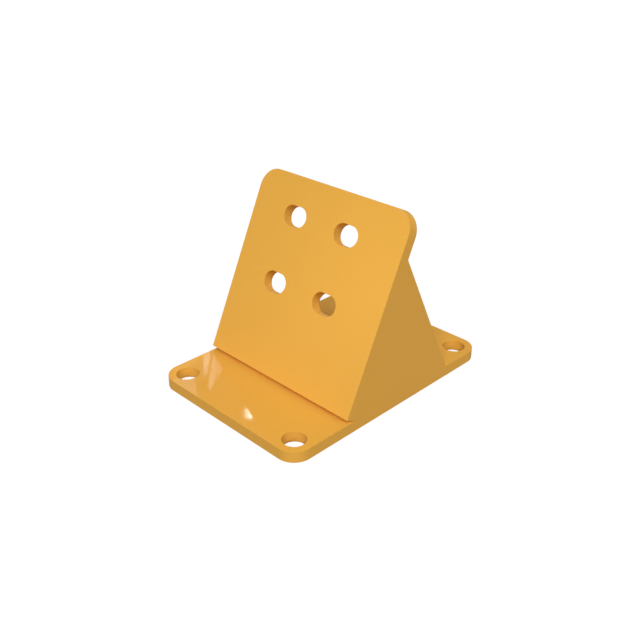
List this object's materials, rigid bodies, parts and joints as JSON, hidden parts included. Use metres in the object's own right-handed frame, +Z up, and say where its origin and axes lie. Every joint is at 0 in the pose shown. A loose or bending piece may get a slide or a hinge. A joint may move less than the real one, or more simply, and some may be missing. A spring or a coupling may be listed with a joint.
{
  "type": "fuel line bracket",
  "caption": "Welded steel plate bracket: a drilled base plate carries a slotted plate that leans back, stiffened by a triangular gusset on one side, to hold a fuel line fitting at an angle.",
  "frame": {"origin": "middle of the base plate's underside, on the surface that the bracket is bolted to", "axes": "+X to the right, towards the gusset; +Y from front to back, the way the angled plate leans; +Z up, out of the mounting surface"},
  "size_m": [0.1, 0.14, 0.1],
  "materials": {
    "yellow_enamel": "gloss"
  },
  "bodies": {
    "root": {"base_plate": "yellow_enamel", "angled_plate": "yellow_enamel", "side_gusset": "yellow_enamel", "foot_weld": "yellow_enamel", "gusset_base_weld": "yellow_enamel", "gusset_plate_weld": "yellow_enamel"}
  },
  "joints": []
}
